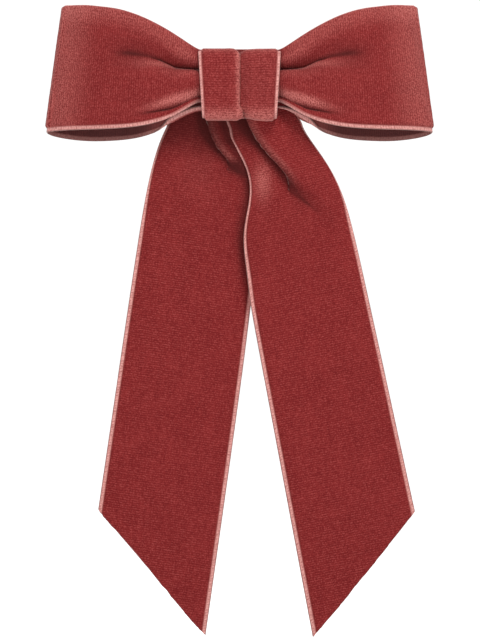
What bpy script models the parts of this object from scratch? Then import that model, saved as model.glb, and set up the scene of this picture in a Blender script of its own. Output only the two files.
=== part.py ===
# Bow barrette: a velvet ribbon bow with two tails, on a sprung hair clip.
# Metres, +Z up, +X to the right as seen from the front, +Y towards the head.
# The origin is the middle of the clamp arm's outer face, which lies on the head.
# Run with: blender --background --python part.py

import math

import bmesh
import bpy
from mathutils import Matrix, Vector

# ---- ribbon and bow ---------------------------------------------------------------------------
RIBBON_WIDTH = 0.038
RIBBON_THICKNESS = 0.0011
BOW_HALF_SPAN = 0.0582  # knot centre to the ribbon's middle at the loop's outer fold
LOOP_RISE = 0.0063  # the loops slope up, so their outer ends sit higher than the knot
LOOP_BELLY = 0.0016  # how far the front of a loop stands in front of the waist
LOOP_TILT = 0.14  # slope of the outer fold: its foot stands further out than its top
GATHER_LENGTH = 0.030  # from the knot's side to where the ribbon is at its full width
WAIST_TOP_ROOM = 0.0011  # inside the knot band, above the gathered ribbon
WAIST_FOOT_ROOM = 0.0027
WAIST_SPACE = 0.0024  # between the front and back layers inside the knot
KNOT_WIDTH = 0.024
KNOT_HEIGHT = 0.0228
KNOT_CORNER = 0.0018  # radius of the knot band's corners, seen from the side
THREAD = 0.0005  # diameter of the sewing thread
FINE_THREAD = 0.0004
GATHER_TURNS, GATHER_PITCH = 5, 1.5  # the pitch is in thread diameters
LASHING_TURNS, LASHING_PITCH = 6, 1.8
SEAM_STITCHES, SEAM_REACH = 8, 0.0014

# ---- tails ------------------------------------------------------------------------------------
TAIL_DROP = 0.1744  # from the knot's centre down to the points
TAIL_CUT = 0.0345  # how much longer the inner edge is, by the slanting cut
LEFT_TIP, RIGHT_TIP = -0.0101, 0.0230  # across, where the two points hang
LEFT_SPLAY, RIGHT_SPLAY = math.radians(7.9), math.radians(11.3)
LEFT_ROOT, RIGHT_ROOT = -0.0113, 0.0081  # middle of each tail at the bend under the knot
ROOT_WIDTH = 0.0235  # a tail's pleated width at that bend
PLEAT_OPENING = 0.013  # the length over which most of a tail's pleat opens
PLEAT_TUCK = 0.005  # how far a tail's inner edge is still folded in below the bend
TUCK_HEIGHT = -0.034
TUCK_LENGTH = 0.017
TAIL_TOP_HEIGHT = 0.0070  # the tails' sewn ends reach this far above the knot's centre
TAIL_TOP_WIDTH = 0.0200
TAIL_TOP_THICKNESS = 0.0016  # a pleated end, pressed flat
TAIL_BACKSET = 0.0032  # the tails hang this much nearer the head at the station than in the middle
BACKSET_STATION = 0.0600
BEND_HEIGHT = -0.0128  # the line under the knot that the tails swing about
BEND_CLEARANCE = 0.0009  # above and below that line, so that the solids can swing

# ---- clip -------------------------------------------------------------------------------------
CLIP_HALF = 0.0385  # centre to the hinge pin, and centre to the catch
STEEL = 0.0008
BASE_HALF_WIDTH = 0.0045
BASE_RISE = 0.0051  # how far the base plate's ends curve towards the head
BASE_OVERHANG = 0.0034  # base plate beyond the hinge pin and the catch
ARM_HALF_WIDTH = 0.0025
ARM_RISE = 0.00205
BAR_HALF_WIDTH = 0.0024
BAR_THICKNESS = 0.0004
BAR_RISE = 0.0043
BAR_TRAVEL = 0.0008  # how far hair presses the tension bar towards the base
HAIR_GAP = 0.0052  # between the arm and the tension bar
LINING_THICKNESS = 0.0006
LINING_HALF_WIDTH = 0.0050
LINING_INSET = 0.0035  # from the end stitches to the lining's ends
PIN_RADIUS = 0.0008
PIN_CLEARANCE = 0.00008
KNUCKLE_RADIUS = 0.0017
EAR_RADIUS = 0.0021
EAR_INSET = 0.0001  # the ears stand just inside the plate's edges
STITCH_INSET = 0.0045  # from the hinge pin, and from the catch, to the sewing holes
STITCH_HOLE_HEIGHT = 0.0033
STITCH_HOLE_RADIUS = 0.0005
STITCH_RING_RADIUS = 0.0009
STITCH_THREAD = 0.00044

# ---- catch ------------------------------------------------------------------------------------
PRONG_THICKNESS = 0.0006
PRONG_WIDTH = 0.0032
PRONG_SPACE = 0.0028  # between the two prongs
PRONG_HEIGHT = 0.0080
BARB_DEPTH = 0.00075
WINDOW_CLEARANCE = 0.0003  # between the arm's window and a prong
WINDOW_RIM = 0.0014
CATCH_PLAY = 0.0003  # between the arm's face and the barb above it
FOOT_LENGTH = 0.0060  # from the prongs back to the foot's riser
LIP_LENGTH = 0.0027  # the lip over the tension bar's end
LIP_THICKNESS = 0.0005
RIVET_INSET = 0.0020  # from the riser to the rivet
BAR_END_PLAY = 0.0011  # between the bar's end and the riser
RIVET_RADIUS = 0.0006
RIVET_HEAD = 0.0012
RIVET_HEAD_HEIGHT = 0.0004

GAP = 0.0003  # left between pieces that touch
THREAD_GAP = 0.0002
ROUND_STEPS = 24

WAIST_TOP = KNOT_HEIGHT / 2 - RIBBON_THICKNESS - WAIST_TOP_ROOM
WAIST_FOOT = KNOT_HEIGHT / 2 - RIBBON_THICKNESS - WAIST_FOOT_ROOM
STITCH_STATION = CLIP_HALF - STITCH_INSET
LINING_HALF_LENGTH = STITCH_STATION - LINING_INSET
FOOT_START = CLIP_HALF - FOOT_LENGTH
LIP_START = FOOT_START - LIP_LENGTH
RIVET_STATION = FOOT_START + RIVET_INSET

# ---- the stack, from the head outwards (y falls) ------------------------------------------------
ARM_INNER = -STEEL
BAR_FACE = ARM_INNER - HAIR_GAP
BAR_BACK = BAR_FACE - BAR_THICKNESS
LASHING_INNER = BAR_BACK - BAR_TRAVEL - GAP - THREAD / 2
BASE_INNER = LASHING_INNER - THREAD / 2 - GAP
BASE_OUTER = BASE_INNER - STEEL
LINING_INNER = BASE_OUTER - GAP
LINING_OUTER = LINING_INNER - LINING_THICKNESS
LASHING_OUTER = LINING_OUTER - THREAD_GAP - THREAD / 2
LEFT_TOP_Y = LASHING_OUTER - THREAD / 2 - THREAD_GAP - TAIL_TOP_THICKNESS / 2
RIGHT_TOP_Y = LEFT_TOP_Y - TAIL_TOP_THICKNESS - GAP
SEAM_Y = RIGHT_TOP_Y - TAIL_TOP_THICKNESS / 2 - THREAD_GAP - FINE_THREAD / 2
BAND_BACK_Y = SEAM_Y - FINE_THREAD / 2 - THREAD_GAP - RIBBON_THICKNESS / 2
THREAD_ROOM = 2 * THREAD_GAP + THREAD  # for the gathering thread, under the band
WAIST_BACK_Y = BAND_BACK_Y - RIBBON_THICKNESS - THREAD_ROOM
WAIST_FRONT_Y = WAIST_BACK_Y - RIBBON_THICKNESS - WAIST_SPACE
BAND_FRONT_Y = WAIST_FRONT_Y - RIBBON_THICKNESS - THREAD_ROOM


def arch(x, rise):
    """How far a strip arches towards the head at x, if it rises this much at CLIP_HALF."""
    radius = (CLIP_HALF**2 + rise**2) / (2 * rise)
    return radius - math.sqrt(radius**2 - x**2)


def slope(x, rise):
    """The angle of an arched strip at x."""
    radius = (CLIP_HALF**2 + rise**2) / (2 * rise)
    return math.asin(x / radius)


def smooth(share):
    """0 to 1, easing in and out."""
    share = min(1.0, max(0.0, share))
    return share * share * (3 - 2 * share)


PIN_Y = arch(CLIP_HALF, ARM_RISE) - KNUCKLE_RADIUS
FOOT_TOP = BASE_INNER + arch(CLIP_HALF, BASE_RISE) + GAP + PRONG_THICKNESS
PRONG_ROOT = FOOT_TOP + GAP
PRONG_MIDDLE = PRONG_SPACE / 2 + PRONG_THICKNESS / 2
BARB_Y = arch(CLIP_HALF, ARM_RISE) + CATCH_PLAY


# ---- scene, materials and helpers ---------------------------------------------------------------
def clear_scene():
    for obj in list(bpy.data.objects):
        bpy.data.objects.remove(obj)


def collection(name, shown=True):
    made = bpy.data.collections.new(name)
    bpy.context.scene.collection.children.link(made)
    made.hide_render = not shown
    return made


def material(name, colour, roughness, metallic=0.0):
    made = bpy.data.materials.new(name)
    made.use_nodes = True
    shader = made.node_tree.nodes["Principled BSDF"]
    shader.inputs["Base Color"].default_value = (*colour, 1.0)
    shader.inputs["Roughness"].default_value = roughness
    shader.inputs["Metallic"].default_value = metallic
    return made


clear_scene()
BARRETTE = collection("bow barrette")
CUTTERS = collection("cutters", shown=False)
VELVET = material("velvet", (0.27, 0.032, 0.031), 0.95)
LINING = material("lining ribbon", (0.20, 0.025, 0.026), 0.7)
COTTON = material("sewing thread", (0.24, 0.030, 0.030), 0.8)
NICKEL = material("nickel plated steel", (0.72, 0.70, 0.67), 0.22, 1.0)
SPRING = material("spring steel", (0.62, 0.62, 0.62), 0.30, 1.0)


def place_object(name, mesh, finish, home=BARRETTE):
    obj = bpy.data.objects.new(name, mesh)
    home.objects.link(obj)
    if finish:
        mesh.materials.append(finish)
    return obj


def from_bmesh(name, bm, finish, home=BARRETTE):
    mesh = bpy.data.meshes.new(name)
    bm.to_mesh(mesh)
    bm.free()
    return place_object(name, mesh, finish, home)


def solidify(obj, thickness):
    wall = obj.modifiers.new("wall", "SOLIDIFY")
    wall.thickness = thickness
    wall.offset = 0.0


def boolean(obj, other, operation):
    step = obj.modifiers.new(operation.lower(), "BOOLEAN")
    step.operation = operation
    step.object = other


def hide_cutter(obj):
    obj.hide_render = True
    obj.display_type = "WIRE"


def sheet(name, across, along, place, thickness, finish):
    """A flat grid, each point moved to place(across 0..1, along 0..1), given a wall."""
    bm = bmesh.new()
    bmesh.ops.create_grid(bm, x_segments=across, y_segments=along, size=0.5)
    for vert in bm.verts:
        vert.co = place(vert.co.x + 0.5, vert.co.y + 0.5)
    bmesh.ops.recalc_face_normals(bm, faces=bm.faces)
    obj = from_bmesh(name, bm, finish)
    solidify(obj, thickness)
    return obj


def ring_sheet(name, around, rows, place, thickness, finish):
    """A ring of ribbon: place(share round the ring, share across the ribbon) for each point."""
    bm = bmesh.new()
    bmesh.ops.create_circle(bm, segments=around, radius=1.0)
    edges = list(bm.edges)
    for _ in range(rows):
        made = bmesh.ops.extrude_edge_only(bm, edges=edges)["geom"]
        edges = [part for part in made if isinstance(part, bmesh.types.BMEdge)]
        verts = [part for part in made if isinstance(part, bmesh.types.BMVert)]
        bmesh.ops.translate(bm, verts=verts, vec=(0, 0, 1 / rows))
    for vert in bm.verts:
        turn = math.atan2(vert.co.y, vert.co.x) / math.tau % 1.0
        vert.co = place(turn, vert.co.z)
    bmesh.ops.recalc_face_normals(bm, faces=bm.faces)
    obj = from_bmesh(name, bm, finish)
    solidify(obj, thickness)
    return obj


def cylinder(name, radius, depth, matrix, finish=None, home=CUTTERS, steps=ROUND_STEPS):
    bm = bmesh.new()
    bmesh.ops.create_cone(
        bm, cap_ends=True, segments=steps, radius1=radius, radius2=radius, depth=depth, matrix=matrix
    )
    return from_bmesh(name, bm, finish, home)


def box(name, low, high, finish=None, home=CUTTERS):
    bm = bmesh.new()
    middle = (Vector(low) + Vector(high)) / 2
    size = Vector(high) - Vector(low)
    bmesh.ops.create_cube(bm, size=1.0, matrix=Matrix.Translation(middle) @ Matrix.Diagonal((*size, 1.0)))
    return from_bmesh(name, bm, finish, home)


def outline(name, points, depth, finish=None, home=BARRETTE):
    """A flat outline with its own thickness, as a welded mesh."""
    curve = bpy.data.curves.new(name, "CURVE")
    curve.dimensions = "2D"
    curve.fill_mode = "BOTH"
    curve.extrude = depth / 2
    spline = curve.splines.new("POLY")
    spline.points.add(len(points) - 1)
    for point, (a, b) in zip(spline.points, points):
        point.co = (a, b, 0, 1)
    spline.use_cyclic_u = True
    drawn = bpy.data.objects.new(name + " outline", curve)
    bpy.context.scene.collection.objects.link(drawn)
    bpy.context.view_layer.update()
    graph = bpy.context.evaluated_depsgraph_get()
    mesh = bpy.data.meshes.new_from_object(drawn.evaluated_get(graph))
    bpy.data.objects.remove(drawn)
    bm = bmesh.new()
    bm.from_mesh(mesh)
    bmesh.ops.remove_doubles(bm, verts=bm.verts, dist=1e-6)
    bmesh.ops.recalc_face_normals(bm, faces=bm.faces)
    bm.to_mesh(mesh)
    bm.free()
    mesh.name = name
    mesh.materials.clear()
    return place_object(name, mesh, finish, home)


def thread(name, points, diameter, finish):
    """A thread along a line of points, with 8 sides."""
    curve = bpy.data.curves.new(name, "CURVE")
    curve.dimensions = "3D"
    curve.bevel_depth = diameter / 2
    curve.bevel_resolution = 2
    curve.use_fill_caps = True
    spline = curve.splines.new("POLY")
    spline.points.add(len(points) - 1)
    for point, place in zip(spline.points, points):
        point.co = (*place, 1)
    obj = bpy.data.objects.new(name, curve)
    BARRETTE.objects.link(obj)
    curve.materials.append(finish)
    return obj


def turned(name, profile, finish):
    """A profile of (radius, height) turned about Z, listed from the top down its outer side."""
    bm = bmesh.new()
    verts = [bm.verts.new((radius, 0, height)) for radius, height in profile]
    for a, b in zip(verts, verts[1:]):
        bm.edges.new((a, b))
    obj = from_bmesh(name, bm, finish)
    screw = obj.modifiers.new("turn", "SCREW")
    screw.steps = screw.render_steps = ROUND_STEPS
    screw.use_merge_vertices = True
    screw.merge_threshold = 1e-6
    return obj


def rivet_profile(radius, head, length, head_height):
    half = length / 2
    return [
        (0.0, half + head_height),
        (head * 0.75, half + head_height),
        (head, half + head_height * 0.4),
        (head, half),
        (radius, half),
        (radius, -half),
        (head, -half),
        (head, -half - head_height * 0.4),
        (head * 0.75, -half - head_height),
        (0.0, -half - head_height),
    ]


def smooth_round(obj, angle=35):
    """Shades the round faces smooth and leaves the edges sharp."""
    if obj.type == "MESH":
        obj.data.shade_smooth()
        obj.data.set_sharp_from_angle(angle=math.radians(angle))


def closed_spline(points, share):
    """The point at a share of the way round a smooth closed line through these points."""
    count = len(points)
    whole = share * count
    first = int(whole) % count
    t = whole - int(whole)
    a, b, c, d = (Vector(points[(first + k) % count]) for k in (-1, 0, 1, 2))
    return 0.5 * (2 * b + (c - a) * t + (2 * a - 5 * b + 4 * c - d) * t**2 + (3 * b - a - 3 * c + d) * t**3)


def rounded_loop(half_a, half_b, radius, corner_points):
    """Points round a rounded rectangle, starting in the middle of its +a side."""
    found = []
    for quarter in range(4):
        corner_a = (half_a - radius) * (1 if quarter in (0, 3) else -1)
        corner_b = (half_b - radius) * (1 if quarter in (0, 1) else -1)
        for step in range(corner_points):
            turn = math.radians(90) * (quarter + step / (corner_points - 1))
            found.append((corner_a + radius * math.cos(turn), corner_b + radius * math.sin(turn)))
    return found


# ---- bow ----------------------------------------------------------------------------------------
def loop_height(x):
    """(lowest, highest) z of the loop ribbon at x: narrow at the waist, full width further out."""
    side = abs(x)
    opened = smooth((side - KNOT_WIDTH / 2) / GATHER_LENGTH)
    middle = LOOP_RISE * min(1.0, side / BOW_HALF_SPAN) ** 0.8
    low = -WAIST_FOOT * (1 - opened) + (middle - RIBBON_WIDTH / 2) * opened
    high = WAIST_TOP * (1 - opened) + (middle + RIBBON_WIDTH / 2) * opened
    return low, high


def loop_plan():
    """The ribbon's path seen from above, as points of a closed line, mirrored left and right."""
    span = BOW_HALF_SPAN
    side = KNOT_WIDTH / 2
    end_y = LINING_OUTER + arch(STITCH_STATION, BASE_RISE) - 0.5 * RIBBON_THICKNESS
    back_end = end_y - STITCH_THREAD - GAP - 0.0004
    front = WAIST_FRONT_Y - LOOP_BELLY
    fold = back_end - 0.0022
    right = [
        (side, WAIST_FRONT_Y),
        (span * 0.42, front),
        (span * 0.64, front + 0.0018),
        (span * 0.84, front + 0.0062),
        (span * 0.96, fold - 0.0024),
        (span, fold),
        (span * 0.965, back_end),
        (span * 0.85, back_end + 0.0006),
        (span * 0.70, back_end + 0.0004),
        (STITCH_STATION, back_end - 0.0006),
        (span * 0.45, back_end - 0.0036),
        (span * 0.33, WAIST_BACK_Y + 0.0022),
        (side, WAIST_BACK_Y),
    ]
    left = [(-x, y) for x, y in reversed(right)]
    return [(0, WAIST_FRONT_Y), *right, (0, WAIST_BACK_Y), *left]


def make_loop_ribbon():
    plan = loop_plan()

    def place(turn, across):
        x, y = closed_spline(plan, turn)
        low, high = loop_height(x)
        z = low + (high - low) * across
        fan = LOOP_TILT * (across - 0.5) * RIBBON_WIDTH * (abs(x) / BOW_HALF_SPAN) ** 2
        return Vector((x - fan * math.copysign(1, x), y, z))

    return ring_sheet("loop_ribbon", 120, 4, place, RIBBON_THICKNESS, VELVET)


def winding(name, centre_y, half_y, half_z, middle_z, turns, pitch, diameter, corner=0.0006):
    """Thread wound round something whose length is along X."""
    section = rounded_loop(half_y, half_z, corner, 3)
    points = []
    for step in range(turns * len(section) + 1):
        dy, dz = section[step % len(section)]
        x = pitch * (step / len(section) - turns / 2)
        points.append((x, centre_y + dy, middle_z + dz))
    return thread(name, points, diameter, COTTON)


def make_gather_thread():
    reach = THREAD_GAP + THREAD / 2
    half_y = (WAIST_BACK_Y - WAIST_FRONT_Y + RIBBON_THICKNESS) / 2 + reach
    low, high = loop_height(0)
    return winding(
        "gather_thread",
        (WAIST_BACK_Y + WAIST_FRONT_Y) / 2,
        half_y,
        (high - low) / 2 + GAP + THREAD / 2,
        (high + low) / 2,
        turns=GATHER_TURNS,
        pitch=THREAD * GATHER_PITCH,
        diameter=THREAD,
    )


def make_knot_band():
    half_y = (BAND_BACK_Y - BAND_FRONT_Y) / 2
    centre_y = (BAND_BACK_Y + BAND_FRONT_Y) / 2
    half_z = (KNOT_HEIGHT - RIBBON_THICKNESS) / 2
    corner = min(KNOT_CORNER, half_y * 0.9)
    section = rounded_loop(half_y, half_z, corner, 6)
    count = len(section)

    def place(turn, across):
        a, b = section[int(round(turn * count)) % count]
        return Vector((KNOT_WIDTH * (across - 0.5), centre_y + a, b))

    return ring_sheet("knot_band", count, 2, place, RIBBON_THICKNESS, VELVET)


def make_knot_seam():
    """Zigzag stitches that close the band on its back."""
    length = KNOT_HEIGHT * 0.55
    points = []
    for step in range(2 * SEAM_STITCHES + 1):
        x = SEAM_REACH * (1 if step % 2 else -1)
        points.append((x, SEAM_Y, length * (step / (2 * SEAM_STITCHES) - 0.5)))
    return thread("knot_seam_thread", points, FINE_THREAD, COTTON)


# ---- tails --------------------------------------------------------------------------------------
def hang(x, y):
    """The tails' y at x: their outer edges lie nearer the head than the middle."""
    return y + TAIL_BACKSET * (x / BACKSET_STATION) ** 2


def make_tail(name, side, tip, splay, root, y):
    """side is -1 on the left. The inner edge runs down to the point, the outer one ends at the cut."""
    start_z = BEND_HEIGHT - BEND_CLEARANCE
    upwards = Vector((-side * math.sin(splay), math.cos(splay)))
    outwards = Vector((side * math.cos(splay), math.sin(splay)))
    point = Vector((tip, -TAIL_DROP))
    corner = point + RIBBON_WIDTH * outwards + TAIL_CUT * upwards

    def edge_at(foot, z):
        return foot.x + (z - foot.y) * upwards.x / upwards.y

    def place(across, along):
        foot_z = point.y + (corner.y - point.y) * across
        z = start_z + (foot_z - start_z) * along
        opened = 1 - math.exp((z - start_z) / PLEAT_OPENING)
        tuck = side * PLEAT_TUCK * math.exp(-(((z - TUCK_HEIGHT) / TUCK_LENGTH) ** 2)) * opened
        inner = edge_at(point, z) * opened + (root - side * ROOT_WIDTH / 2) * (1 - opened) + tuck
        outer = edge_at(corner, z) * opened + (root + side * ROOT_WIDTH / 2) * (1 - opened)
        x = inner + (outer - inner) * across
        return Vector((x, hang(x, y), z))

    return sheet(name, 6, 22, place, RIBBON_THICKNESS, VELVET)


def make_tail_top(name, side, root, y):
    """The pleated end that is sewn behind the knot."""
    foot_z = BEND_HEIGHT + BEND_CLEARANCE

    def place(across, along):
        width = ROOT_WIDTH + (TAIL_TOP_WIDTH - ROOT_WIDTH) * along
        middle = root * (1 - 0.75 * along)
        x = middle + width * (across - 0.5)
        return Vector((x, hang(x, y), foot_z + (TAIL_TOP_HEIGHT - foot_z) * along))

    return sheet(name, 4, 4, place, TAIL_TOP_THICKNESS, VELVET)


# ---- clip ---------------------------------------------------------------------------------------
def strip(name, start, end, half_width, face, rise, thickness, finish, segments, end_radius):
    """An arched strip. face is the y of its middle at x = 0, and its ends are rounded in outline."""

    def place(along, across):
        x = start + (end - start) * along
        near_end = min(x - start, end - x)
        inset = max(0.0, end_radius - near_end)
        trim = end_radius - math.sqrt(max(0.0, end_radius**2 - inset**2))
        half = half_width(x) - trim
        return Vector((x, face + arch(x, rise), half * (2 * across - 1)))

    return sheet(name, segments, 1, place, thickness, finish)


def across_hole(name, radius, x, y, z, tilt=0.0, depth=0.006):
    """A cutter through a strip, square to it."""
    turned_over = Matrix.Rotation(tilt, 4, "Z") @ Matrix.Rotation(math.pi / 2, 4, "X")
    matrix = Matrix.Translation((x, y, z)) @ turned_over
    cutter = cylinder(name, radius, depth, matrix, steps=16)
    hide_cutter(cutter)
    return cutter


def ear(name, side):
    """One ear of the hinge: a tab up from the base plate, round about the pin."""
    root = BASE_INNER + arch(CLIP_HALF, BASE_RISE) - STEEL / 2
    points = [(-CLIP_HALF - EAR_RADIUS, root), (-CLIP_HALF + EAR_RADIUS, root)]
    steps = 12
    for step in range(steps + 1):
        turn = math.pi * step / steps
        points.append((-CLIP_HALF + EAR_RADIUS * math.cos(turn), PIN_Y + EAR_RADIUS * math.sin(turn)))
    made = outline(name, points, STEEL, home=CUTTERS)
    height = side * (BASE_HALF_WIDTH - EAR_INSET - STEEL / 2)
    made.data.transform(Matrix.Translation((0, 0, height)))
    hide_cutter(made)
    return made


def pin_bore(name, radius):
    cutter = cylinder(name, radius, 4 * BASE_HALF_WIDTH, Matrix.Translation((-CLIP_HALF, PIN_Y, 0)))
    hide_cutter(cutter)
    return cutter


def make_base_plate():
    end = CLIP_HALF + BASE_OVERHANG
    plate = strip(
        "base_plate", -end, end, lambda x: BASE_HALF_WIDTH, (BASE_INNER + BASE_OUTER) / 2, BASE_RISE,
        STEEL, NICKEL, segments=45, end_radius=0.0030,
    )
    for side, word in ((1, "upper"), (-1, "lower")):
        boolean(plate, ear(f"{word} ear", side), "UNION")
    boolean(plate, pin_bore("ear bore", PIN_RADIUS + PIN_CLEARANCE), "DIFFERENCE")
    for x in (-STITCH_STATION, STITCH_STATION):
        for z in (-STITCH_HOLE_HEIGHT, STITCH_HOLE_HEIGHT):
            y = (BASE_INNER + BASE_OUTER) / 2 + arch(x, BASE_RISE)
            hole = across_hole("sewing hole", STITCH_HOLE_RADIUS, x, y, z, slope(x, BASE_RISE))
            boolean(plate, hole, "DIFFERENCE")
    boolean(plate, rivet_hole("base rivet hole"), "DIFFERENCE")
    return plate


def rivet_centre():
    """The middle of the rivet's grip, between the base plate's outer face and the foot's inner face."""
    return (BASE_OUTER + BASE_INNER + GAP + PRONG_THICKNESS) / 2 + arch(RIVET_STATION, BASE_RISE)


def rivet_hole(name):
    radius = RIVET_RADIUS + PIN_CLEARANCE
    return across_hole(name, radius, RIVET_STATION, rivet_centre(), 0, slope(RIVET_STATION, BASE_RISE))


def make_lining():
    return strip(
        "clip_lining", -LINING_HALF_LENGTH, LINING_HALF_LENGTH, lambda x: LINING_HALF_WIDTH,
        (LINING_INNER + LINING_OUTER) / 2, BASE_RISE, LINING_THICKNESS, LINING, segments=28, end_radius=0.0010,
    )


def make_lashing():
    half_y = (LASHING_INNER - LASHING_OUTER) / 2
    half_z = max(BASE_HALF_WIDTH, LINING_HALF_WIDTH) + GAP + THREAD / 2
    return winding(
        "centre_lashing", (LASHING_INNER + LASHING_OUTER) / 2, half_y, half_z, 0.0,
        turns=LASHING_TURNS, pitch=THREAD * LASHING_PITCH, diameter=THREAD, corner=0.0003,
    )


def make_end_stitch(name, x, z_side):
    """A ring of thread through a sewing hole and over the plate's edge."""
    y = (BASE_INNER + BASE_OUTER) / 2 + arch(x, BASE_RISE)
    z = z_side * (STITCH_HOLE_HEIGHT + STITCH_RING_RADIUS)
    bpy.ops.mesh.primitive_torus_add(
        major_radius=STITCH_RING_RADIUS, minor_radius=STITCH_THREAD / 2, major_segments=18,
        minor_segments=8, location=(x, y, z), rotation=(0, math.pi / 2, 0),
    )
    obj = bpy.context.object
    obj.name = obj.data.name = name
    for home in list(obj.users_collection):
        home.objects.unlink(obj)
    BARRETTE.objects.link(obj)
    obj.data.materials.append(COTTON)
    return obj


def make_hinge_pin():
    length = 2 * (BASE_HALF_WIDTH - EAR_INSET + THREAD_GAP)
    pin = turned("hinge_pin", rivet_profile(PIN_RADIUS, 0.0013, length, 0.0005), NICKEL)
    pin.location = (-CLIP_HALF, PIN_Y, 0)
    return pin


def make_arm():
    """The clamp arm: its origin is on the hinge's axis."""
    window_half = PRONG_SPACE / 2 + PRONG_THICKNESS + WINDOW_CLEARANCE
    window_reach = PRONG_WIDTH / 2 + WINDOW_CLEARANCE + 0.0001
    end = CLIP_HALF + window_reach + WINDOW_RIM
    wide = window_half + WINDOW_RIM

    def half_width(x):
        opened = smooth((x - (CLIP_HALF - window_reach - 0.0075)) / 0.0055)
        return ARM_HALF_WIDTH + (wide - ARM_HALF_WIDTH) * opened

    arm = strip(
        "clamp_arm", -CLIP_HALF, end, half_width, -STEEL / 2, ARM_RISE, STEEL, NICKEL, segments=45,
        end_radius=0.0012,
    )
    knuckle_length = 2 * (BASE_HALF_WIDTH - EAR_INSET - STEEL - GAP)
    eye = cylinder("arm eye", KNUCKLE_RADIUS, knuckle_length, Matrix.Translation((-CLIP_HALF, PIN_Y, 0)))
    hide_cutter(eye)
    boolean(arm, eye, "UNION")
    boolean(arm, pin_bore("arm bore", PIN_RADIUS + PIN_CLEARANCE), "DIFFERENCE")
    window = box(
        "arm window",
        (CLIP_HALF - window_reach, -0.004, -window_half),
        (CLIP_HALF + window_reach, 0.008, window_half),
    )
    hide_cutter(window)
    boolean(arm, window, "DIFFERENCE")
    hinge = Matrix.Translation((-CLIP_HALF, PIN_Y, 0))
    arm.data.transform(hinge.inverted())
    arm.matrix_world = hinge
    return arm


def make_tension_bar():
    return strip(
        "tension_bar", -CLIP_HALF, FOOT_START - BAR_END_PLAY, lambda x: BAR_HALF_WIDTH,
        (BAR_FACE + BAR_BACK) / 2, BAR_RISE, BAR_THICKNESS, SPRING, segments=36, end_radius=0.0010,
    )


def make_catch_foot():
    """The catch's foot on the base plate, with the lip that keeps the tension bar's end."""
    end = CLIP_HALF + PRONG_WIDTH / 2
    thick = PRONG_THICKNESS
    foot = strip(
        "catch_foot", FOOT_START, end, lambda x: PRONG_MIDDLE + thick / 2, BASE_INNER + GAP + thick / 2,
        BASE_RISE, thick, SPRING, segments=8, end_radius=0.0002,
    )
    foot_y = BASE_INNER + GAP + arch(FOOT_START, BASE_RISE)
    bar_end = BAR_FACE + arch(FOOT_START, BAR_RISE)
    lip_y = bar_end + GAP
    half = BAR_HALF_WIDTH
    step = 0.0001  # keeps the faces of the joined boxes from lying in one plane
    riser_top = (FOOT_START + thick, lip_y + LIP_THICKNESS, half)
    lip_top = (FOOT_START + thick / 2, lip_y + 0.9 * LIP_THICKNESS, half - step)
    riser = box("lip riser", (FOOT_START, foot_y + step, -half), riser_top)
    lip = box("lip", (LIP_START, lip_y, -half + step), lip_top)
    for piece in (riser, lip):
        hide_cutter(piece)
        boolean(foot, piece, "UNION")
    boolean(foot, rivet_hole("foot rivet hole"), "DIFFERENCE")
    return foot


def make_catch_rivet():
    length = STEEL + GAP + PRONG_THICKNESS + 2 * THREAD_GAP
    rivet = turned("catch_rivet", rivet_profile(RIVET_RADIUS, RIVET_HEAD, length, RIVET_HEAD_HEIGHT), NICKEL)
    rivet.location = (RIVET_STATION, rivet_centre(), 0)
    rivet.rotation_euler = (math.pi / 2, 0, slope(RIVET_STATION, BASE_RISE))
    return rivet


def make_prong(name, side):
    """One prong of the catch: its origin is on the line where the spring steel bends."""
    inner = -PRONG_THICKNESS / 2
    outer = PRONG_THICKNESS / 2
    barb = BARB_Y - PRONG_ROOT
    profile = [
        (0.0, inner),
        (PRONG_HEIGHT, inner),
        (PRONG_HEIGHT, outer - 0.0003),
        (PRONG_HEIGHT - 0.0004, outer),
        (barb + 0.0016, outer),
        (barb, outer + BARB_DEPTH),
        (barb, outer),
        (0.0, outer),
    ]
    points = [(a, side * b) for a, b in profile]
    prong = outline(name, points, PRONG_WIDTH, SPRING)
    # the outline's x becomes y and its y becomes z
    prong.data.transform(Matrix(((0, 0, 1, 0), (1, 0, 0, 0), (0, 1, 0, 0), (0, 0, 0, 1))))
    lean = math.tan(slope(CLIP_HALF, BASE_RISE))
    for vert in prong.data.vertices:
        if vert.co.y < THREAD_GAP:
            vert.co.y += vert.co.x * lean
    prong.location = (CLIP_HALF, PRONG_ROOT, side * PRONG_MIDDLE)
    return prong


def main():
    made = [
        make_loop_ribbon(),
        make_gather_thread(),
        make_knot_band(),
        make_knot_seam(),
        make_tail_top("left_tail_top", -1, LEFT_ROOT, LEFT_TOP_Y),
        make_tail_top("right_tail_top", 1, RIGHT_ROOT, RIGHT_TOP_Y),
        make_tail("left_tail", -1, LEFT_TIP, LEFT_SPLAY, LEFT_ROOT, LEFT_TOP_Y),
        make_tail("right_tail", 1, RIGHT_TIP, RIGHT_SPLAY, RIGHT_ROOT, RIGHT_TOP_Y),
        make_lining(),
        make_lashing(),
        make_base_plate(),
        make_hinge_pin(),
        make_arm(),
        make_tension_bar(),
        make_catch_foot(),
        make_catch_rivet(),
        make_prong("catch_prong_upper", 1),
        make_prong("catch_prong_lower", -1),
    ]
    for x, side in ((-STITCH_STATION, "left"), (STITCH_STATION, "right")):
        for z_side, word in ((1, "upper"), (-1, "lower")):
            made.append(make_end_stitch(f"end_stitch_{side}_{word}", x, z_side))
    for obj in made:
        smooth_round(obj)
    print("hinge axis through", (-CLIP_HALF, PIN_Y), "prong roots at y", PRONG_ROOT, "z", PRONG_MIDDLE)


main()
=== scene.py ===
# Velvet ribbon bow with two tails, on a sprung hair clip.
import math

import bmesh
import bpy
import numpy as np
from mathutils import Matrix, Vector, noise


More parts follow.
